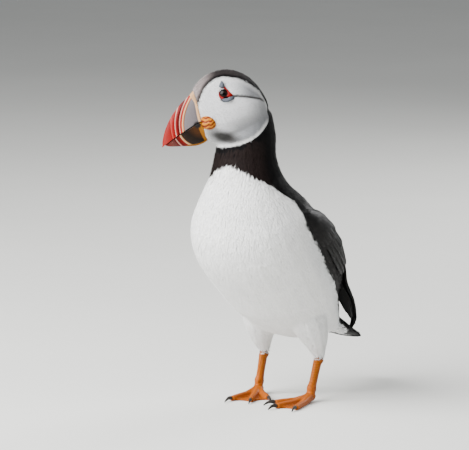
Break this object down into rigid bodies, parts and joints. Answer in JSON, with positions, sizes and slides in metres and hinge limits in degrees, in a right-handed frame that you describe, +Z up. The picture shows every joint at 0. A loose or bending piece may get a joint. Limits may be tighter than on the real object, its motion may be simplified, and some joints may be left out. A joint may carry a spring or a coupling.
{
  "type": "atlantic puffin model",
  "caption": "Life-size still model of an Atlantic puffin standing alert on webbed feet, head turned to its right in profile.",
  "frame": {"origin": "on the floor, midway between the model's outermost points in X and in Y", "axes": "+Z up; -Y is the way the breast and the feet face; +X is the bird's left side"},
  "size_m": [0.106, 0.1916, 0.2534],
  "materials": {
    "face_feathers": "short velvety pale grey feathers, matt",
    "black_feathers": "smooth black-brown feathers with a slight sheen",
    "white_feathers": "soft white feathers, matt",
    "orange_skin": "scaly orange skin, slightly waxy",
    "bill_horn": "smooth horn in bands of blue-grey, cream and red, satin",
    "rosette_skin": "wrinkled yellow-orange skin, satin",
    "plate_horn": "blue-grey horn, satin",
    "claw_horn": "black horn, satin",
    "eye": "wet, dark and glossy"
  },
  "bodies": {
    "root": {"head": "face_feathers", "neck": "black_feathers", "trunk": "white_feathers", "tail": "black_feathers", "upper_bill": "bill_horn", "lower_bill": "bill_horn", "left_eye": "eye", "left_rosette": "rosette_skin", "left_brow_plate": "plate_horn", "left_cheek_plate": "plate_horn", "left_wing": "black_feathers", "left_thigh": "white_feathers", "left_leg": "orange_skin", "left_foot": "orange_skin", "left_inner_claw": "claw_horn", "left_middle_claw": "claw_horn", "left_outer_claw": "claw_horn", "right_eye": "eye", "right_rosette": "rosette_skin", "right_brow_plate": "plate_horn", "right_cheek_plate": "plate_horn", "right_wing": "black_feathers", "right_thigh": "white_feathers", "right_leg": "orange_skin", "right_foot": "orange_skin", "right_inner_claw": "claw_horn", "right_middle_claw": "claw_horn", "right_outer_claw": "claw_horn"}
  },
  "joints": []
}
